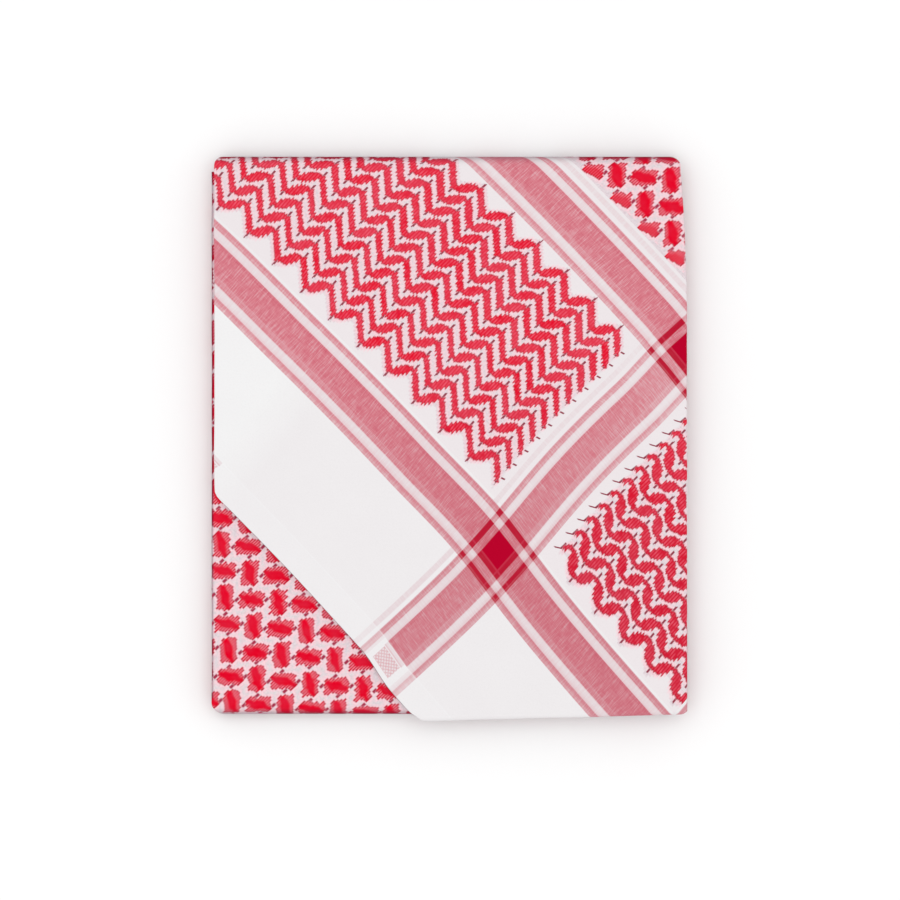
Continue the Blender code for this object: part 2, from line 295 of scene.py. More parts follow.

# %% [markdown]
# ## A cross-section
#
# A section is a ring of points: the outer face, the lips on the right, the inner face and the lips
# on the left. The outer face is a fine grid, because it also carries the slight unevenness of
# cloth that has been pressed by hand. Each point keeps its place along the flat cloth, and the
# cloth that the lips take up counts there as well.
#
# Each point also keeps how much painted shade it gets, from 0 on a face to 1 just below its
# edge. The colour uses that later to darken the cloth round a fold. The lip of the selvedge has its
# own value, a painted shadow, since two hems lie there and keep the light out.

# %% A section
def section(row):
    """Ring of (point, flat X seen from the right, flat X seen from the left, painted shade)."""
    wall, place = row["wall"], row["place"]
    left_side = lips_of(row["left_lips"], wall, row["at"], 1)
    right_side = lips_of(row["right_lips"], wall, row["at"], 2)
    outer = spread(row["left"] + left_side[0][1], row["right"] - right_side[0][1], FACE_COLUMNS - 1)
    inner = spread(row["right"] - right_side[-1][1], row["left"] + left_side[-1][1], INNER_COLUMNS - 1)
    ring = [(place(x, 0.0), x, x, row.get("turned", 0.0)) for x in outer]

    def down(side, edge, sense):
        """Walks down the lips and adds up the cloth that they take."""
        length = 0.0
        before = side[0]
        walked = []
        for after in side[1:]:
            length += math.dist(before, after)
            walked.append((edge - sense * after[1], after[0], length))
            before = after
        return walked

    # Painted shade down a lip: full just below the face's edge, fading further down.
    def turned_away(depth, most):
        on_lip = smooth_step(depth / LIP_SHADE_FROM)
        on_lip *= 1 - 0.8 * smooth_step((depth - LIP_SHADE_TO) / (2 * LIP_SHADE_TO))
        return max(row.get("turned", 0.0), most * on_lip)

    lip_turned = row.get("lip_turned", 0.0)
    left_turned = row.get("left_turned", lip_turned)
    right_walk = down(right_side, row["right"], 1)
    left_walk = down(left_side, row["left"], -1)
    for x, depth, length in right_walk[:-1]:
        flat = outer[-1] + length
        ring.append((place(x, depth / wall), flat, flat, turned_away(depth, lip_turned)))
    for x in inner:
        from_right = outer[-1] + right_walk[-1][2] + (inner[0] - x)
        from_left = outer[0] - left_walk[-1][2] - (x - inner[-1])
        ring.append((place(x, 1.0), from_right, from_left, 0.0))
    for x, depth, length in reversed(left_walk[:-1]):
        flat = outer[0] - length
        ring.append((place(x, depth / wall), flat, flat, turned_away(depth, left_turned)))
    return ring


print("a section has", FACE_COLUMNS, "points on its outer face and", INNER_COLUMNS, "on its inner one")

# %% [markdown]
# ## Skinning the sections
#
# Each ring of points is joined to the next with four-sided faces, and both ends are closed. On
# the inner face the flat places counted from the right and from the left have to part somewhere.
# They part in its middle, which lies on the next layer, so nobody sees the step.

# %% The skin
def cloth_from_rows(name, rows, flat_place):
    """Skins the sections, closes both ends and lays the flat cloth's UV map on the piece."""
    shell = bmesh.new()
    lay = shell.loops.layers.uv.new("flat_cloth")
    # Each point's painted shade is kept in a float attribute for the colour.
    turned = shell.verts.layers.float.new("turned_away")
    rings = []
    for row in rows:
        ring = []
        for point, right, left, away in section(row):
            vert = shell.verts.new(point)
            vert[turned] = away
            ring.append((vert, right, left))
        rings.append(ring)
    count = len(rings[0])
    switch = FACE_COLUMNS + len(lips_of(rows[0]["right_lips"], 0.001, 0.0, 1)) - 2 + INNER_COLUMNS // 2

    def flat_uv(ring_index, index, from_right):
        vert, right, left = rings[ring_index][index % count]
        x = right if from_right else left
        return flat_place(x, rows[ring_index]["flat"](vert.co.x))

    for near in range(len(rings) - 1):
        for index in range(count):
            after = (index + 1) % count
            corners = ((near, index), (near, after), (near + 1, after), (near + 1, index))
            face = shell.faces.new([rings[row][column][0] for row, column in corners])
            face.smooth = True
            for loop, (row, column) in zip(face.loops, corners):
                loop[lay].uv = flat_uv(row, column, index < switch)
    for end in (0, len(rings) - 1):
        face = shell.faces.new([vert for vert, right, left in rings[end]])
        for loop, column in zip(face.loops, range(count)):
            loop[lay].uv = flat_uv(end, column, column < switch)
    bmesh.ops.recalc_face_normals(shell, faces=shell.faces)
    bmesh.ops.triangulate(shell, faces=[face for face in shell.faces if len(face.verts) > 4])
    mesh = bpy.data.meshes.new(name)
    shell.to_mesh(mesh)
    shell.free()
    piece = bpy.data.objects.new(name, mesh)
    bpy.context.scene.collection.objects.link(piece)
    print(name, len(mesh.polygons), "faces")
    return piece


print("every piece gets its flat places in the UV map flat_cloth")

# %% [markdown]
# ## The tucked tip and the fold below the flap
#
# The last stretch of the strip ends in a point, which is tucked in behind the flap. So this piece
# starts at the blunt tip of the tuck, runs down to the fold along the bottom edge, turns, runs up
# the front as the flap, and bends over the top edge to the back. Its left side is the selvedge of
# the square, which slants across the pack, and there two layers of cloth show one on the other.

# %% Tucked tip and fold
FOLD_DROOP = (0.0014, 0.0005)              # how far the fold hangs below the flap, left and right
FOLD_RISE, RISE_FROM = 0.0262, -0.0158     # how steeply the fold climbs to the right, from this X
FACE_FROM = 0.005                          # past the fold the rows lie further apart
SELVEDGE_LIP_SHADE = 1.7                             # how strong the painted shadow on the lip of the selvedge is
FLAP_INSETS = (0.0003, 0.0)


def fold_droop(x):
    along = (x - SELVEDGE_FOOT) / (RIGHT - SELVEDGE_FOOT)
    return FOLD_DROOP[0] - (FOLD_DROOP[0] - FOLD_DROOP[1]) * min(max(along, 0.0), 1.0)


def fold_radius(x):
    return (TUCK_LIFT + FLAP_WALL + fold_droop(x)) / 2


def fold_y(x):
    rise = FOLD_RISE * max(x - RISE_FROM, 0.0)
    return BOTTOM + rise + fold_radius(x) + 0.00025 * wobble(x, 0.0, 0.03, 4)


def tuck_row(distance):
    def place(x, share):
        droop = fold_droop(x) * smooth_step(1 - distance / FACE_FROM)
        return (x, fold_y(x) + distance, FLAP_BASE - droop + share * TUCK_WALL)

    radius = fold_radius(SELVEDGE_FOOT)
    return {
        "left": SELVEDGE_FOOT + SELVEDGE_SLOPE * distance + corner_inset(FOOT_CORNER, distance + radius),
        "right": RIGHT - corner_inset(FOLD_CORNER, distance + radius),
        "wall": TUCK_WALL, "left_lips": PAIR, "right_lips": ONE_LIP, "place": place,
        "at": -distance,
        "flat": lambda x: fold_y(x) - math.pi * fold_radius(x) - distance,
    }


def bottom_fold_row(turn):
    angle = math.pi * turn
    wall = TUCK_WALL + (FLAP_WALL - TUCK_WALL) * turn

    def place(x, share):
        radius = fold_radius(x)
        reach = radius - share * wall
        middle = FLAP_BASE - fold_droop(x) + radius
        return (x, fold_y(x) - reach * math.sin(angle), middle - reach * math.cos(angle))

    depth = fold_radius(SELVEDGE_FOOT) * (1 - math.sin(angle))
    return {
        "left": SELVEDGE_FOOT + corner_inset(FOOT_CORNER, depth),
        "right": RIGHT - corner_inset(FOLD_CORNER, depth),
        "wall": wall, "left_lips": PAIR, "right_lips": ONE_LIP, "place": place,
        "at": 0.0,
        "flat": lambda x: fold_y(x) - math.pi * (1 - turn) * fold_radius(x),
    }


print("the fold is", round(fold_radius(RIGHT) * 2000, 1), "mm thick at the right")

# %% [markdown]
# ## The face of the flap
#
# The flap rises a little where the tuck lies behind it, and where the second panel of the strip
# does. It falls off those layers gently, as pressed cloth does. The rest of its face is nearly
# flat, so two wobbles of a tenth of a millimetre are enough for hands that smoothed it.

# %% The flap's face
def tuck_cover(x, distance):
    """1 where the tucked tip lies behind the flap, easing to 0 beside it."""
    tuck_left = SELVEDGE_FOOT + SELVEDGE_SLOPE * distance
    return smooth_step((x - tuck_left + COVER_EASE) / COVER_EASE)


def doubled_cover(x, y):
    """The same for the second panel of the strip."""
    doubled_right = LEFT + SELVEDGE_SLOPE * (y - DOUBLED_FROM)
    beside = smooth_step((doubled_right - x + COVER_EASE) / COVER_EASE)
    return max(beside, smooth_step(1 - (TOP_BEND_Y - y) / 0.030))


def hand_pressed(x, y):
    """The slight unevenness of a face that was smoothed by hand."""
    return 0.00016 * wobble(x, y, 0.055, 5) + 0.00007 * wobble(x, y, 0.018, 6)


def flap_row(distance):
    foot = fold_y(SELVEDGE_FOOT)
    climb = distance / (TOP_BEND_Y - foot)
    calm = smooth_step(distance / 0.01) * smooth_step((1 - climb) / 0.04)

    def place(x, share):
        y = fold_y(x) + (TOP_BEND_Y - fold_y(x)) * climb
        wall = FLAP_WALL + (FLAP_WALL_DOUBLED - FLAP_WALL) * doubled_cover(x, y)
        height = FLAP_BASE + TUCK_LIFT * tuck_cover(x, distance) + wall * (1 - share)
        return (x, y, height + (1 - share) * calm * hand_pressed(x, y))

    depth = distance + fold_radius(SELVEDGE_FOOT)
    left, right = side_edges(foot + distance, FLAP_INSETS, (0.0, FOLD_CORNER), depth, seed=7)
    selvedge = SELVEDGE_FOOT - SELVEDGE_SLOPE * distance + selvedge_bow(distance)
    selvedge += corner_inset(FOOT_CORNER, depth)
    return {
        "left": soft_maximum(left, selvedge, SELVEDGE_EASE),
        "right": right,
        # A painted shadow line on the selvedge's lip, where the flap's edge lies on the under panel.
        "left_turned": SELVEDGE_LIP_SHADE * smooth_step((selvedge - left) / 0.010),
        "wall": FLAP_WALL, "left_lips": PAIR, "right_lips": ONE_LIP, "place": place,
        "at": distance,
        "flat": lambda x: fold_y(x) + (TOP_BEND_Y - fold_y(x)) * climb,
    }


print("over the tuck the flap rises by", round(TUCK_LIFT * 1000, 1), "mm")

# %% [markdown]
# ## Bends, and the flap in one piece
#
# Round the top and the bottom of the pack the cloth follows a half circle, and the cloth behind
# it a smaller one. The flap's sections lie closer together beside its fold and round its bends,
# because the form changes fastest there.

# %% Bends and the flap
TUCK_ROWS, FLAP_ROWS, BEND_ROWS = 34, 112, 24


def bend_row(turn, center_y, radius, wall, sense, edges):
    """Round the top (sense 1) or the bottom (sense -1) of the pack, from above it to below."""
    insets, corners, left_lips, right_lips, seed = edges
    angle = math.pi * turn

    def place(x, share):
        reach = radius - share * wall
        y = center_y + sense * reach * math.sin(angle)
        return (x, y, radius + reach * math.cos(angle))

    left, right = side_edges(center_y, insets, corners, radius * (1 - math.sin(angle)), seed)
    return {
        "left": left, "right": right, "wall": wall,
        "left_lips": left_lips, "right_lips": right_lips, "place": place,
        "at": center_y + sense * radius * angle,
        # Painted shade round the bend: none where it leaves the faces, full round its outer edge.
        "turned": smooth_step((turn - 0.13) * 3) * smooth_step((1 - turn) * 3),
        "flat": lambda x: center_y + sense * radius * angle,
    }


beside = [0.0008, 0.0016, 0.0026, 0.0038]
flap_length = TOP_BEND_Y - fold_y(SELVEDGE_FOOT)
rows = [tuck_row(distance) for distance in spread(TUCK_LENGTH, FACE_FROM, TUCK_ROWS) + beside[::-1]]
rows += [bottom_fold_row(turn) for turn in spread(0.0, 1.0, BEND_ROWS // 2)]
rows += [flap_row(distance) for distance in beside]
rows += [flap_row(distance) for distance in spread(FACE_FROM, flap_length, FLAP_ROWS)[:-1]]
top_edges = (FLAP_INSETS, (0.004, 0.005), PAIR, ONE_LIP, 7)
rows += [bend_row(turn, TOP_BEND_Y, TOP_RADIUS, FLAP_WALL_DOUBLED, 1, top_edges)
         for turn in spread(0.0, 1.0, BEND_ROWS)]
front_flap = cloth_from_rows("flap_cloth", rows, on_flap)

# %% [markdown]
# ## The under panel and the back
#
# Below the slanting selvedge shows the panel that the flap lies on. It bends round the bottom
# edge of the pack and becomes the back, which is the face that the pack rests on and is flat.
# These are thicker stretches: the strip is folded from four panels, and down the right side a
# thin fold, the diagonal of the square, lies on a thick one.

# %% Under panel and back
THIN_ON_THICK = ((0.4, 0.0), (0.6, 0.0006))
UNDER_INSETS = (-0.0009, 0.0009)           # it sticks out on the left and lies back on the right
FACE_ROWS = 96


def flat_row(y, outer, inner, insets, lips, seed, flat):
    def place(x, share):
        return (x, y, outer + (inner - outer) * share)

    left, right = side_edges(y, insets, seed=seed)
    return {
        "left": left, "right": right, "wall": abs(outer - inner),
        "left_lips": lips[0], "right_lips": lips[1], "place": place,
        # Painted shade on the lips down the sides of the under panel and the back.
        "at": y, "lip_turned": 1.0, "flat": lambda x: flat,
    }


low_edges = (UNDER_INSETS, (0.0057, 0.0057), ONE_LIP, THIN_ON_THICK, 8)
rows = [bend_row(turn, LOW_BEND_Y, LOW_RADIUS, UNDER_WALL, -1, low_edges)
        for turn in spread(1.0, 0.0, BEND_ROWS)]
for y in spread(LOW_BEND_Y, TOP_BEND_Y, FACE_ROWS)[1:]:
    rows.append(flat_row(y, UNDER_TOP, UNDER_TOP - UNDER_WALL, UNDER_INSETS,
                         (ONE_LIP, THIN_ON_THICK), 8, y))
under_panel = cloth_from_rows("under_cloth", rows, on_under)

rows = []
for y in spread(LOW_BEND_Y, TOP_BEND_Y, FACE_ROWS):
    travel = (TOP_BEND_Y - y) / (TOP_BEND_Y - LOW_BEND_Y)
    rows.append(flat_row(y, 0.0, BACK_WALL, (0.0006, 0.0004), (ONE_LIP, THIN_ON_THICK), 9, travel))
back_panel = cloth_from_rows("back_cloth", rows, on_back)

# %% [markdown]
# ## The turns inside the roll
#
# Between the under panel and the back lie the turns that nobody sees except as a stack of folds
# down each side. They share one rounded form. What matters is its two sides: each turn shows as
# one round fold, thick or thin by the layers in it, and no two stand out equally far.

# %% Inner turns
# Each pair is a fold's share of the height and how far it lies in, from the lowest one up.
LEFT_STACK = ((0.44, 0.0006), (0.21, 0.0020), (0.35, 0.0009))
RIGHT_STACK = (
    (0.15, 0.0008), (0.29, 0.0013), (0.10, 0.0026), (0.12, 0.0030), (0.19, 0.0016), (0.15, 0.0009),
)
END_STEPS = 8
HIDDEN_MIDDLE = (HIDDEN_BASE + HIDDEN_TOP) / 2
HIDDEN_DEPTH = HIDDEN_TOP - HIDDEN_BASE


def hidden_row(y, half_depth):
    def place(x, share):
        return (x, y, HIDDEN_MIDDLE + half_depth * (1 - 2 * share))

    left, right = side_edges(y, (0.0, 0.0), seed=10)
    return {
        "left": left, "right": right, "wall": HIDDEN_DEPTH,
        "left_lips": LEFT_STACK[::-1], "right_lips": RIGHT_STACK[::-1], "place": place,
        # A little less painted shade on the lips of the inner turns.
        "at": y, "lip_turned": 0.6, "flat": lambda x: y,
    }


half = HIDDEN_DEPTH / 2
low_y, high_y = LOW_BEND_Y + 0.0012, TOP_BEND_Y - 0.0004    # where the round ends begin
round_end = [0.97 * math.cos(math.pi / 2 * step / END_STEPS) for step in range(END_STEPS + 1)]
rows = [hidden_row(low_y - half * reach, half * math.sqrt(1 - reach * reach)) for reach in round_end]
rows += [hidden_row(y, half) for y in spread(low_y, high_y, FACE_ROWS)[1:-1]]
rows += [hidden_row(high_y + half * reach, half * math.sqrt(1 - reach * reach))
         for reach in reversed(round_end)]
inner_turns = cloth_from_rows("inner_cloth", rows, on_inner)

# %% [markdown]
# ## A class for shader maths
#
# A woven pattern is arithmetic on the two places a and b. Wiring that by hand takes hundreds of
# nodes, so a small class wraps an output socket and turns Python's operators into Math nodes.
# Any other node comes from its one method `node`, which sets the node's own settings first and
# then its sockets.

# %% Field, a value over the cloth
class Field:
    tree = None

    def __init__(self, socket):
        self.socket = socket

    @classmethod
    def node(cls, kind, settings=None, inputs=None, output=0):
        made = cls.tree.nodes.new(kind)
        for name, value in (settings or {}).items():
            if name == "stops":
                made.color_ramp.interpolation = "LINEAR"
                while len(made.color_ramp.elements) < len(value):
                    made.color_ramp.elements.new(1.0)
                for stop, (position, colour) in zip(made.color_ramp.elements, value):
                    stop.position = position
                    stop.color = (*colour, 1.0)
            else:
                setattr(made, name, value)
        for key, value in (inputs or {}).items():
            if isinstance(value, Field):
                cls.tree.links.new(value.socket, made.inputs[key])
            else:
                made.inputs[key].default_value = value
        return cls(made.outputs[output]) if made.outputs else None

    def also(self, output):
        """Another output of the same node."""
        return Field(self.socket.node.outputs[output])

    @classmethod
    def math(cls, operation, *values, clamp=False):
        settings = {"operation": operation, "use_clamp": clamp}
        return cls.node("ShaderNodeMath", settings, dict(enumerate(values)))

    def __add__(self, other):
        return self.math("ADD", self, other)

    __radd__ = __add__

    def __sub__(self, other):
        return self.math("SUBTRACT", self, other)

    def __rsub__(self, other):
        return self.math("SUBTRACT", other, self)

    def __mul__(self, other):
        return self.math("MULTIPLY", self, other)

    __rmul__ = __mul__

    def __truediv__(self, other):
        return self.math("DIVIDE", self, other)

    def __lt__(self, other):
        return self.math("LESS_THAN", self, other)

    def __gt__(self, other):
        return self.math("GREATER_THAN", self, other)

    def __abs__(self):
        return self.math("ABSOLUTE", self)


cloth = bpy.data.materials.new("woven_cotton")
cloth.use_nodes = True
Field.tree = cloth.node_tree
Field.tree.nodes.clear()
print("a new material with", len(Field.tree.nodes), "nodes")

# %% [markdown]
# ## Short names for common sums
#
# The pattern is drawn with a handful of sums over and over, so each gets a short name. The one
# that matters most is `soft`: an edge of yarn is never sharp, and a short slope also keeps the
# picture from flickering where a float is thinner than a pixel.

# %% Short names
def soft(value, width):
    """0 well below zero, 1 well above it, and a short slope of this width between."""
    return Field.math("MULTIPLY_ADD", value, 1 / width, 0.5, clamp=True)


def clamp01(value):
    return Field.math("ADD", value, 0.0, clamp=True)


def floor(value):
    return Field.math("FLOOR", value)


def frac(value):
    return Field.math("FRACT", value)


def either(first, second):
    return Field.math("MAXIMUM", first, second)


def choose(mask, yes, no):
    return no + mask * (yes - no)


def wave(value):
    """1 at whole numbers, -1 half way between."""
    return Field.math("COSINE", value * (2 * math.pi))


def blend(mask, under, over):
    """Lays one colour over another."""
    return Field.node("ShaderNodeMix", {"data_type": "RGBA"}, {0: mask, 6: under, 7: over}, 2)


print("a slope 2 mm wide climbs by", 1 / 2, "for each millimetre")

# %% [markdown]
# ## Dyes and chance
#
# A dye is named by its colour on a screen, from 0 to 255, and the shader wants linear values. Two
# kinds of chance are needed: smooth noise for what drifts over the cloth, and a fixed random value
# for each float, so that no two floats are quite as long.

# %% Dyes and chance
def dyed(red, green, blue):
    """A screen colour, 0 to 255, as a linear one."""
    def linear(value):
        value /= 255
        return value / 12.92 if value <= 0.04045 else ((value + 0.055) / 1.055) ** 2.4
    return (linear(red), linear(green), linear(blue), 1.0)


def grain(vector, scale, detail=2.0, rough=0.5):
    return Field.node("ShaderNodeTexNoise", {"noise_dimensions": "3D"},
                      {"Vector": vector, "Scale": scale, "Detail": detail, "Roughness": rough})


def chance(first, second, seed):
    """A fixed random value for each pair of whole numbers."""
    pair = Field.node("ShaderNodeCombineXYZ", None, {0: first, 1: second, 2: seed})
    return Field.node("ShaderNodeTexWhiteNoise", {"noise_dimensions": "3D"}, {"Vector": pair})


print("a middle grey of 128 is", round(dyed(128, 128, 128)[0], 3), "as a linear value")

# %% [markdown]
# ## Places on the cloth
#
# From here on lengths are in millimetres. The square is the same from all four sides, so the
# stripes and borders only need the distance to the nearer selvedge each way.

# %% Places
INNER_MM = INNER_BAND * 1000
NOWHERE = -9.0                              # far outside any float

place = Field.node("ShaderNodeUVMap", {"uv_map": "flat_cloth"})
in_mm = Field.node("ShaderNodeVectorMath", {"operation": "SCALE"}, {0: place, 3: 1000.0})
a = Field.node("ShaderNodeSeparateXYZ", None, {0: in_mm})
b = a.also(1)


def from_selvedge(value):
    middle = HALF_SIDE * 1000
    return abs(middle - abs(value - middle))


edge_a, edge_b = from_selvedge(a), from_selvedge(b)
mottle = grain(in_mm, 0.05, 3.0)
speck = grain(in_mm, 1.1, 1.0)
print("the square is", CLOTH_SIDE * 1000, "mm a side")

# %% [markdown]
# ## Striped bands
#
# Two bands of red yarn run round the square, and a band is three stripes: a wide one between two
# thin ones. Only one of the two yarns is dyed there, so the stripe is pink, and where two bands
# cross both yarns are red and the square is deep red. Adding the two shares of red yarn gives all
# of that from one profile. A colour ramp holds the profile across a band.
#
# Yarns aren't even, so fine streaks run across every stripe. They are noise that is drawn out
# along one yarn, and they go both ways, lighter and darker than the stripe.

# %% Bands
BAND_AT = 92.0                             # from the selvedge to the middle of the outer band
BAND_SPACING = INNER_MM - BAND_AT
REACH = 23.0                               # the profile covers this far each side, in mm
FULL_DYE = 1.1                             # the most red yarn in the profile
FAINT_LINE = 19.2                          # past the middle of the inner band

PROFILE = (
    (-16.7, 0.00), (-16.3, 0.62), (-15.6, 0.52), (-14.2, 0.76), (-13.4, 0.80), (-13.0, 0.26),
    (-10.9, 0.14), (-9.2, 0.14), (-8.7, 0.26), (-8.4, 0.80), (-6.2, 0.77), (-5.6, 0.70),
    (-5.2, 0.92), (-3.5, 0.99), (5.9, 0.98), (6.5, 1.10), (7.7, 1.05), (8.1, 0.24),
    (9.6, 0.16), (11.4, 0.16), (12.0, 0.22), (12.4, 0.78), (13.2, 0.60), (14.2, 0.84),
    (15.0, 0.78), (15.6, 0.00),
)


def band_share(edge):
    """Share of red yarn in the stripes that run along one selvedge."""
    shift = edge - (BAND_AT - BAND_SPACING / 2)
    across = Field.math("FLOORED_MODULO", shift, BAND_SPACING) - BAND_SPACING / 2
    stops = [(0.5 + at / (2 * REACH), (level / FULL_DYE,) * 3) for at, level in PROFILE]
    ramp = Field.node("ShaderNodeValToRGB", {"stops": stops},
                      {0: Field.math("MULTIPLY_ADD", across, 1 / (2 * REACH), 0.5, clamp=True)})
    share = Field.node("ShaderNodeSeparateColor", None, {0: ramp}) * FULL_DYE
    faint = soft(1.5 - abs(edge - (INNER_MM + FAINT_LINE)), 0.6) * 0.16
    return either(share * (edge < INNER_MM + REACH), faint), across


share_a, across_a = band_share(edge_a)
share_b, across_b = band_share(edge_b)


def streaks(scale):
    """Noise drawn out along one yarn, because each scale is per millimetre that way."""
    drawn_out = Field.node("ShaderNodeVectorMath", {"operation": "MULTIPLY"}, {0: in_mm, 1: scale})
    return grain(drawn_out, 1.0, 2.0)


along_b = streaks((1.6, 0.14, 1.0))        # yarns that run the way b grows
along_a = streaks((0.14, 1.6, 1.0))
print("bands", BAND_AT, "and", INNER_MM, "mm from the selvedge")

# %% [markdown]
# ## The selvedge
#
# The last 15 mm are woven closer and whiter. Thin stripes fade there, and the wide one turns into
# a small lattice of diamonds, a weaver's way to finish a stripe.

# %% Selvedge
HEM = 15.0
DIAMOND = 2.2                              # from one diamond of the lattice to the next
LATTICE_AT = 7.1                           # its middle, from the selvedge


def finished(share, across, edge):
    """Stripes of one way, as they end near the selvedge of the other way."""
    mesh = either(wave((across + edge) / DIAMOND), wave((across - edge) / DIAMOND))
    mark = across - 0.4
    box = soft(6.9 - abs(mark), 0.4) * soft(4.5 - abs(edge - LATTICE_AT), 0.4)
    lattice = box * (0.14 + 0.32 * soft(mesh - 0.5, 0.7))
    rim = soft(0.5 - abs(edge - 12.6), 0.4) * 0.30 + soft(edge - 13.2, 0.4) * 0.16
    rim = rim * soft(7.4 - abs(mark), 0.4)
    faded = share * (abs(across) > 10.5) * 0.55 + either(lattice, rim)
    return choose(edge < HEM, faded, share)


share_a = finished(share_a, across_a, edge_b)
share_b = finished(share_b, across_b, edge_a)
hem = either(soft(HEM - edge_a, 1.5), soft(HEM - edge_b, 1.5))
hem_line = either(soft(0.4 - abs(edge_a - HEM), 0.3), soft(0.4 - abs(edge_b - HEM), 0.3))
print("the hem is", HEM, "mm wide")

# %% [markdown]
# ## The stepped border
#
# Between the two bands runs the border of the keffiyeh: eleven rows of steps. Each step has a
# flat tread, thick in the middle like a leaf, and an upright riser, which is even in width along
# the sides of the square and leaf-like too in its corners. It is woven as floats, red yarns that
# lie loose over the ground for a few millimetres, so every edge is made of whole yarns and looks
# toothed. Counting the places off in columns of one float each gives those teeth for free.

# %% Stepped border
STEP = 20.80                                # one tread and one riser, along the border
RISE = 4.474                                # half the height of the stair
ROW = 8.912                                 # from one row to the next
FIRST_ROW = 120.9
LAST_ROW = 10
FLOATS = 14                                 # columns of float in a step
BORDER_FROM, BORDER_TO = 108.8, 219.5
BLOCK_END = 23.6                            # the steps stop this far from the middle of a band

other_way = (edge_a < INNER_MM) * (edge_b > INNER_MM)
run = choose(other_way, b, a)
cross = choose(other_way, edge_a, edge_b)
along = choose(other_way, edge_b, edge_a)

place_in_step = 0.445 - run / STEP
phase = frac(place_in_step)
counted = frac((floor(place_in_step * FLOATS) + 0.5) / FLOATS)
tread = phase < 0.5
middle = RISE - (4 * RISE) * abs(counted - 0.5)
towards_corner = along < INNER_MM
fuller = clamp01((cross - 140) / 50) * 0.5
pulled = (cross - 167.3) / 44.4              # the outer rows are drawn out a little
level = (cross + 0.26 + 0.89 * (pulled * pulled) - FIRST_ROW - middle) / ROW
row = Field.math("MINIMUM", either(Field.math("ROUND", level), 0.0), LAST_ROW)
offset = (level - row) * ROW

# A leaf bulges square to its own line and not along the floats, so its two edges lean apart.
half_way = choose(tread, counted, counted - 0.5) * 2
bulge = Field.math("SINE", half_way * math.pi)
side = choose(offset > 0, 1.0, -1.0) * choose(tread, 1.0, -1.0)
leaning = clamp01(half_way + side * bulge * 0.13 * towards_corner)
blunt = choose(towards_corner, 0.82, 0.85)
leaf = Field.math("POWER", abs(Field.math("SINE", leaning * math.pi)), blunt)
leaf_height = choose(towards_corner, 0.30 + leaf * 3.75, 0.60 + leaf * (3.00 + fuller * 0.4))
riser = choose(towards_corner, leaf_height, 2.15 + fuller)
ragged = chance(floor(place_in_step * (2 * FLOATS)), row, 1.0) - 0.5
end_of_block = abs(along - (INNER_MM + 0.4)) - BLOCK_END
taper = clamp01(end_of_block / 3.0)
half_height = (choose(tread, leaf_height, riser) + ragged * 0.95) * taper
inside = (edge_a > BORDER_FROM) * (edge_b > BORDER_FROM)
border = inside * (cross < BORDER_TO)
step_room = choose(border * (end_of_block > 0.2), half_height - abs(offset), NOWHERE)
steps = soft(step_room, 0.9)
print("eleven rows of steps,", ROW, "mm apart")

# %% [markdown]
# ## Loose ends of the border
#
# A short loose end sticks out at each corner of the stair, down at the inner corner and up at the
# outer one. It is a few millimetres of one dark yarn, so it only needs a narrow soft stroke beside
# the step, cut off where the step itself begins.

# %% Spurs at the corners
spur_width = 0.55
low_corner = soft(spur_width - Field.math("MINIMUM", phase, 1 - phase) * STEP, 0.3)
high_corner = soft(spur_width - abs(phase - 0.5) * STEP, 0.3)
below = (offset < 0) * soft(half_height + 2.4 - abs(offset), 0.5)
above = (offset > 0) * soft(half_height + 2.8 - abs(offset), 0.5)
spurs = either(low_corner * below, high_corner * above) * (end_of_block > 4.2) * (1 - steps)
print("a spur is", 2 * spur_width, "mm wide")

# %% [markdown]
# Where the border stops beside a band, the loose ends are longer. On the side towards the corner
# of the square each row starts with a thin hooked thread, which comes down from its riser nearly
# to the next row and curls over. On the far side each row ends in a point, with one short thread
# below the point and another across from it.

# %% Ends of the border
HOOK_AT = 211.3                             # from the selvedge
POINT_AT = 258.6

tops = (cross - FIRST_ROW - RISE) / ROW
between = frac(tops)
curl = clamp01((0.30 - between) / 0.25) * 3.0
thread = HOOK_AT + curl + wave(between * 0.5 + 0.1) * 0.4
hooks = soft(0.55 - abs(along - thread), 0.3) * soft(0.33 - abs(between - 0.38), 0.06)
hooks = hooks * (tops > -1.0) * (tops < 10.1)

past_point = along - POINT_AT
beyond = (level * ROW + middle + 1.02) / ROW
from_thread = (beyond - Field.math("ROUND", beyond)) * ROW + past_point * 0.34
tails = soft(0.45 - abs(from_thread), 0.3) * soft(1.1 - abs(past_point), 0.3)
points = soft(0.5 - abs(past_point - 2.0), 0.3) * soft(1.1 - abs(offset + 1.5), 0.4)
tails = tails * (beyond > -0.5) * (beyond < 10.5)
loose = either(hooks, either(tails, points)) * (1 - steps)
spurs = either(spurs, loose) * border
print("hooks towards the corner, tails on the far side")

# %% [markdown]
# ## The checked field
#
# The middle of the square is a broken check, the net that a keffiyeh is known by. It is a lattice
# of two lozenges, one that lies and one that stands, each woven as eleven floats side by side.
# The floats run at 45 degrees to the lozenge. Towards its ends they get shorter, so that their
# ends make level and upright sides. Past the solid heart the long ends part, and the ground shows
# between them.
#
# The field begins beside a band, and there the lying lozenges are cut short: each float starts a
# little later than the one before it. Near the band the hearts are fuller, too.

# %% Checked field
CHECK_A, CHECK_B = 21.09, 18.03             # one repeat each way
FIELD_EDGE = 256.9
THREADS = 18                                # floats across one repeat
HEART_SLOPE = 0.51                          # how much the heart slants from one float to the next
KINK = 1.66                                 # the middles of the outer floats lie level past this
LONG_FLOAT, SHORTENED = 6.1, 7.8            # half a float's length, and where it starts to get less
HALF_LOZENGE = 6.4

check_a = 0.18 - a / CHECK_A
check_b = b / CHECK_B + 0.62
near_band = soft(330 - edge_b, 40)


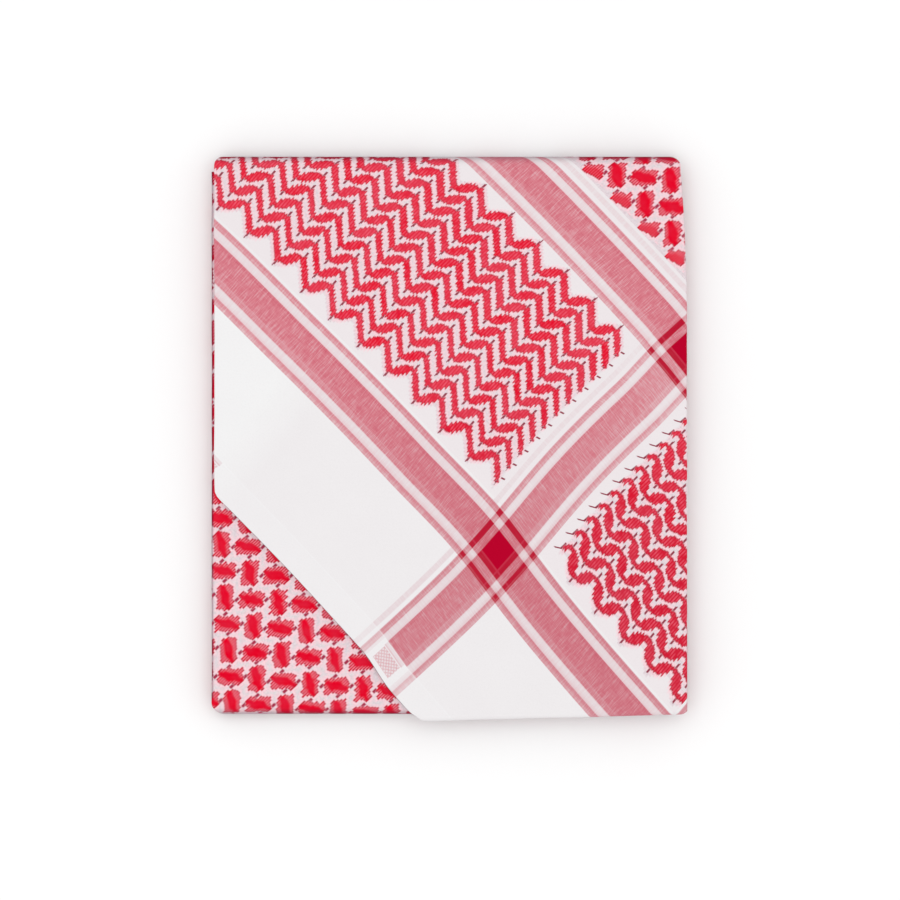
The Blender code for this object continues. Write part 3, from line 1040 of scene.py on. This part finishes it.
def lozenge(shift, sense, seed):
    """How far inside a lozenge of one kind a place is, and inside its solid heart."""
    counted = Field.math("ROUND", (check_a - shift) * THREADS) / THREADS
    side = (counted - Field.math("ROUND", counted)) * CHECK_A
    lift = check_b - shift - side * (sense * HEART_SLOPE / CHECK_B)
    which = Field.math("ROUND", lift)
    from_heart = (lift - which) * CHECK_B
    kinked = Field.math("MINIMUM", either(side, -KINK), KINK) - side * HEART_SLOPE
    out = abs(from_heart - kinked * sense)
    reach = Field.math("MINIMUM", LONG_FLOAT, SHORTENED - abs(side))
    uneven = (chance(floor(counted * THREADS + 0.5), which, seed) - 0.5) * 1.8
    room = Field.math("MINIMUM", reach + near_band * 0.2 + uneven - out, HALF_LOZENGE - abs(side))
    late = either(side + 3.6, (side + 3.6) * -9.0) * 0.30 + uneven * 0.5
    room = Field.math("MINIMUM", room, edge_b - FIELD_EDGE - late)
    return room, 3.2 + near_band * 0.5 + uneven * 0.7 - abs(side) * 0.38 - abs(from_heart)


lying, lying_heart = lozenge(0.0, 1.0, 2.0)
standing, standing_heart = lozenge(0.5, -1.0, 3.0)
field_zone = (edge_a > FIELD_EDGE) * (edge_b > FIELD_EDGE)
standing = choose((edge_a > POINT_AT) * (edge_b > POINT_AT), standing, NOWHERE)
check_room = choose(field_zone, either(lying, standing), NOWHERE)
check = soft(check_room, 0.7)
heart = either(soft(lying_heart, 1.0) * (lying > 0), soft(standing_heart, 1.0) * (standing > 0))
heart = heart * (1 - 0.3 * soft(FIELD_EDGE + 6.5 - edge_b, 3.0))
print("a lozenge repeats every", THREADS, "floats")

# %% [markdown]
# ## Stitches between the lozenges
#
# Small dark stitches link one lozenge to the next, two at its long ends and two beside it. All
# four are the same stroke, at different places from the middle of the lying lozenge.

# %% Linking stitches
def stitch(x, y):
    """A dark linking stitch beside the lying lozenge, at this place from its middle."""
    lift = check_b - y / CHECK_B
    exact_out = (lift - Field.math("ROUND", lift)) * CHECK_B
    drift = check_a - x / CHECK_A
    near_a = abs(drift - Field.math("ROUND", drift)) * CHECK_A
    return soft(0.80 - near_a, 0.5) * soft(1.35 - abs(exact_out), 0.6)


far_links = either(stitch(5.4, 5.5), stitch(-5.4, -5.5))
links = either(far_links, either(stitch(4.2, -3.0), stitch(-4.2, 3.0)))
links = links * (edge_b > FIELD_EDGE + 4) * (1 - check)
print("four stitches link each lying lozenge")

# %% [markdown]
# ## Colour of the stripes
#
# Each dye is named as it should look on the screen, so it is divided by how bright the light is.
# A ramp turns the share of red yarn into pink, and the streaks move it up and down the ramp. Where
# two bands cross, both yarns are red. Towards the corner of the square the stripes are a little darker.

# %% Stripe colour
LIGHT = 1.20                                # how bright the studio light is on the cloth
MOST_DYE = 1.4                              # the deepest streak
LIGHT_LINE_AT = 5.7                         # a lighter line near one side of the wide stripe


def paint(red, green, blue):
    colour = dyed(red, green, blue)
    return tuple(value / LIGHT for value in colour[:3]) + (1.0,)


def lay(under, mask, red, green, blue):
    """Lays a dye over a colour, as far as the mask lets it."""
    return blend(mask, under, paint(red, green, blue))


PINKS = (
    (0.0, (240, 237, 238)), (0.14, (233, 220, 223)), (0.3, (232, 203, 207)), (0.55, (224, 171, 178)),
    (0.75, (220, 150, 159)), (1.0, (216, 126, 138)), (MOST_DYE, (204, 92, 110)),
)
both = Field.math("MINIMUM", share_a, share_b)
crossing = clamp01(both * 2.0 - 0.25) * (0.955 + 0.045 * (both > 0.9))
strength = either(share_a * choose(edge_b > 200, 0.76, 0.85), share_b)
near_corner = soft(390 - (edge_a + edge_b), 160)
across_streak = choose(share_b > share_a, along_b, along_a)
along_streak = choose(share_b > share_a, along_a, along_b)
dye = strength * (across_streak * 1.75 + along_streak * 0.55 - 0.15)
stops = [(share / MOST_DYE, paint(*pink)[:3]) for share, pink in PINKS]
stripes = Field.node("ShaderNodeValToRGB", {"stops": stops}, {0: dye / MOST_DYE})
slub = soft(across_streak - 0.66, 0.08) * (strength > 0.3)
light_line = either(soft(0.45 - abs(across_a + LIGHT_LINE_AT), 0.3),
                    soft(0.45 - abs(across_b + LIGHT_LINE_AT), 0.3))
stripes = lay(stripes, slub * 0.4, 238, 190, 196)
stripes = lay(stripes, crossing, 185, 0, 42)
stripes = lay(stripes, crossing * light_line * 0.3, 214, 80, 104)
# Darker towards the corner of the square.
stripes = lay(stripes, near_corner * clamp01(strength * 1.5) * (1 - crossing) * 0.26, 180, 95, 108)
print("the stripes have", len(stops), "pinks")

# %% [markdown]
# ## Colour of the ground
#
# The ground is bleached cotton, a little grey. Behind the patterned parts the red yarns run along
# the back of the cloth and show through in flecks, and right beside a float as a rosy edge. Where
# the second panel lies behind the flap the cloth looks whiter, and so does the closer weave of the
# hem. Specks and mottling are last, because they come from handling.

# %% Ground colour
plain = 1 - clamp01(strength * 6)
fleck = soft(either(streaks((1.4, 0.35, 1.0)), streaks((0.35, 1.4, 1.0))) - 0.54, 0.22)
behind_steps = border * soft(4.6 - abs(offset), 0.8) * soft(end_of_block - 1.2, 1.5)
patterned = either(field_zone, behind_steps) * plain
room = either(step_room, check_room)
doubled = soft(a - b * 0.112 - 362, 24) * (edge_b < 78)

ground = lay(stripes, inside * plain, 239, 232, 234)
ground = lay(ground, patterned * (0.35 + fleck * 0.65), 226, 208, 214)
ground = lay(ground, soft(room + 1.5, 2.0) * plain, 254, 214, 221)
ground = lay(ground, doubled * plain * 0.8, 245, 245, 245)
ground = lay(ground, either(hem * plain * 0.15, hem_line * 0.35), 246, 246, 247)
ground = lay(ground, soft(speck - 0.56, 0.2) * plain * (0.04 + patterned * 0.22), 190, 178, 186)
ground = lay(ground, soft(mottle - 0.5, 0.6) * plain * 0.05, 200, 190, 196)
print("bleached cotton:", [round(value, 2) for value in paint(240, 237, 238)[:3]])

# %% [markdown]
# ## Colour of the floats
#
# No two floats took the dye alike, so red and rosier red mix softly, and each tread or riser has
# its own tone. Floats are lighter in the gaps where the ground shows between them, and darker at
# their ends, where they dive into the cloth. Towards the corner of the square they are a little
# darker. Where the pieces carry painted shade, the red is darkened to maroon and the ground is
# greyed a little. Last come the dark loose ends.

# %% Float colour
def gaps(count, width):
    """The narrow gap beside each float, where the ground shows."""
    return soft(width - wave(count), 0.9)


parted = clamp01(grain(in_mm, 0.30, 1.0) * 2.4 - 0.7)
step_gaps = gaps(place_in_step * FLOATS, 0.12) * parted * 0.65
check_gaps = gaps(check_a * THREADS, -0.45) * (1 - heart)
shade = choose(steps > 0.3, step_gaps, check_gaps)
# The painted shade that each point carries, round folds and down the sides.
turned_away = Field.node("ShaderNodeAttribute", {"attribute_name": "turned_away"}, None, 2)
red_mottle = soft(grain(in_mm, 0.16, 2.0) - 0.5, 0.35)
tone = chance(floor(place_in_step * 2), row, 5.0)

floats_red = blend(red_mottle * 0.5, paint(230, 0, 38), paint(220, 42, 68))
floats_red = lay(floats_red, check * (1 - heart) * 0.6, 206, 24, 56)
floats_red = lay(floats_red, steps * tone * 0.7, 224, 66, 86)
floats_red = lay(floats_red, near_corner * 0.5, 186, 24, 50)
floats_red = lay(floats_red, shade * 0.75, 250, 118, 138)
floats_red = lay(floats_red, shade * check * 0.60, 252, 182, 196)
floats_red = lay(floats_red, soft(0.7 - room, 0.8) * 0.5, 150, 24, 50)
# Painted shade: where it is strong the red darkens to maroon and the ground greys.
floats_red = lay(floats_red, turned_away * 0.85, 104, 8, 44)
ground = lay(ground, turned_away * 0.55, 112, 84, 98)
colour = blend(either(steps, check), ground, floats_red)
colour = lay(colour, spurs, 150, 62, 78)
colour = lay(colour, links, 170, 52, 78)
print("float red:", [round(value, 2) for value in paint(230, 0, 38)[:3]])

# %% [markdown]
# ## Weave and relief
#
# Plain weave has about 22 yarns to the centimetre. The floats lie on top of it, so they stand up
# by a yarn. Bump is enough for both, because a yarn is thinner than half a millimetre. Cotton is
# matt, with a faint fuzz that sheen stands for. Those values are the same all over, so they are
# set on the shader itself.

# %% Relief and shader
YARN = 0.45
weave = wave(a * (0.5 / YARN)) * wave(b * (0.5 / YARN))
floated = either(steps, check)
height = floated * (0.80 - 0.35 * shade) + (1 - floated) * (weave * 0.10) + speck * 0.12 + spurs * 0.4
bump = Field.node("ShaderNodeBump", None, {"Strength": 0.55, "Distance": 0.0004, "Height": height})
roughness = 0.9 - floated * 0.12 + (speck - 0.5) * 0.08

shader = Field.node("ShaderNodeBsdfPrincipled", None, {
    "Base Color": colour, "Roughness": roughness, "Normal": bump,
    "Specular IOR Level": 0.03, "Sheen Weight": 0.01, "Sheen Roughness": 0.5,
})
Field.node("ShaderNodeOutputMaterial", None, {"Surface": shader})
for piece in (front_flap, under_panel, back_panel, inner_turns):
    piece.data.materials.append(cloth)
print("the cloth takes", len(Field.tree.nodes), "nodes")

# %% [markdown]
# ## Standing for the rigid model
#
# Each cloth replaces its own rigid node, moves with the one body, and prints how much cloth it shows.
# A closed piece of cloth has two faces, so half of its surface is the flat area.

# %% The cloth in place of the rigid parts
FLAP_LENGTH = 0.3182                        # up the flap and round the top bend
LOW_BEND_LENGTH = 0.0211                    # round the bottom bend
ROUND_SIDES = 0.0075                        # what the rounded sides of the inner turns take up


def declare(piece, node, width, length):
    surface = sum(face.area for face in piece.data.polygons)
    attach(piece, "root")
    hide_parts(node)
    area = min(surface / 2, width * length)
    print(piece.name, "shows", round(area, 4), "square metres of cloth")


pack_width = RIGHT - LEFT
face_length = TOP_BEND_Y - LOW_BEND_Y
declare(front_flap, "front_flap",
        pack_width, TUCK_LENGTH + FLAP_LENGTH)
declare(under_panel, "under_panel",
        pack_width, face_length + LOW_BEND_LENGTH)
declare(back_panel, "back_panel",
        pack_width, face_length)
declare(inner_turns, "hidden_layers",
        pack_width + ROUND_SIDES, face_length + ROUND_SIDES)

# %% [markdown]
# ## Floor, light and camera
#
# The pack lies on a plain white table in a white tent, which lights it from all round above, and
# one wide round soft box adds a little from nearly straight above. The shadow is then a soft rim,
# even all round, which reaches about as far as the pack is high. The camera looks straight down
# through a long lens, so the sides hardly show.

# %% Studio
TABLE_REACH = 4.0
corners = [(-1, -1), (1, -1), (1, 1), (-1, 1)]
floor_mesh = bpy.data.meshes.new("studio_floor")
floor_mesh.from_pydata([(x * TABLE_REACH, y * TABLE_REACH, 0) for x, y in corners], [], [(0, 1, 2, 3)])
studio_floor = bpy.data.objects.new("studio_floor", floor_mesh)
bpy.context.scene.collection.objects.link(studio_floor)
paper = bpy.data.materials.new("studio_paper")
paper.use_nodes = True
paper_shader = paper.node_tree.nodes["Principled BSDF"]
paper_shader.inputs["Base Color"].default_value = (0.850, 0.850, 0.850, 1.0)
paper_shader.inputs["Roughness"].default_value = 1.0
paper_shader.inputs["Specular IOR Level"].default_value = 0.0
floor_mesh.materials.append(paper)

world = bpy.data.worlds.new("studio_sky")
world.use_nodes = True
world.node_tree.nodes["Background"].inputs[0].default_value = (1.0, 1.0, 1.0, 1.0)
world.node_tree.nodes["Background"].inputs[1].default_value = 1.00
bpy.context.scene.world = world

SOFT_BOX_PLACE = Vector((-0.10, 0.10, 2.80))
lamp_data = bpy.data.lights.new("soft_box", "AREA")
lamp_data.shape = "DISK"
lamp_data.size = 3.2
lamp_data.energy = 22.0
soft_box = bpy.data.objects.new("soft_box", lamp_data)
soft_box.location = SOFT_BOX_PLACE
soft_box.rotation_euler = SOFT_BOX_PLACE.to_track_quat("Z", "Y").to_euler()
bpy.context.scene.collection.objects.link(soft_box)

FRAME_WIDTH = 0.4704                       # what the picture covers at the height of the folds
FOLD_HEIGHT = 0.0110
camera_data = bpy.data.cameras.new("camera")
camera_data.sensor_width = 36.0
camera_data.lens = 200.0
distance = FRAME_WIDTH * camera_data.lens / camera_data.sensor_width
camera = bpy.data.objects.new("camera", camera_data)
camera.location = (-0.00013, -0.00588, distance + FOLD_HEIGHT)
bpy.context.scene.collection.objects.link(camera)
bpy.context.scene.camera = camera
bpy.context.scene.view_settings.view_transform = "Standard"
bpy.context.scene.view_settings.look = "None"
print("the camera stands", round(camera.location.z, 3), "m above the table")
